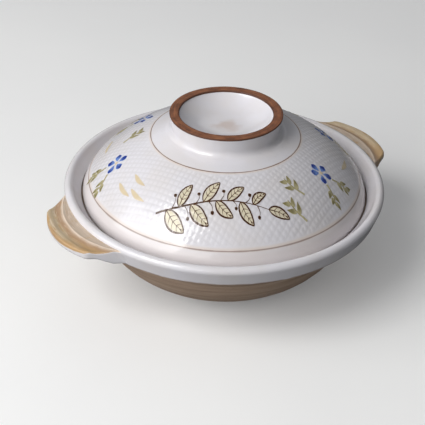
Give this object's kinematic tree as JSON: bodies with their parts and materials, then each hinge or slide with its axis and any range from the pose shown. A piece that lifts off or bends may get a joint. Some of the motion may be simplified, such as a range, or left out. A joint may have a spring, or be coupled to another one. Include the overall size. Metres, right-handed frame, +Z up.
{
  "type": "donabe clay pot",
  "caption": "Wide clay cooking pot with a broad turned rim, two flat lug handles and a domed lid with a shallow cup-shaped knob; white glaze over bare tan and brown clay.",
  "frame": {"origin": "on the table under the pot's centre, at the bottom of the foot ring", "axes": "+Z up along the wheel axis; +X towards one handle, -X towards the other; +Y towards the lid's steam hole"},
  "size_m": [0.317, 0.27, 0.145],
  "materials": {
    "belly_clay": "matte",
    "handle_clay": "satin",
    "lid_clay": "matte",
    "knob_clay": "matte",
    "white_glaze": "gloss"
  },
  "bodies": {
    "pot": {"pot_bowl": "belly_clay", "basin_glaze": "white_glaze", "rim_glaze": "white_glaze", "handle_left": "handle_clay", "handle_glaze_left": "white_glaze", "handle_right": "handle_clay", "handle_glaze_right": "white_glaze"},
    "lid": {"lid": "lid_clay", "lid_glaze": "white_glaze", "lid_lining_glaze": "white_glaze", "knob": "knob_clay", "knob_cup_glaze": "white_glaze"}
  },
  "joints": [
    {"name": "lid_lift", "type": "slide", "parent": "pot", "child": "lid", "axis": [0, 0, 1], "range_m": [0, 0.1]}
  ]
}
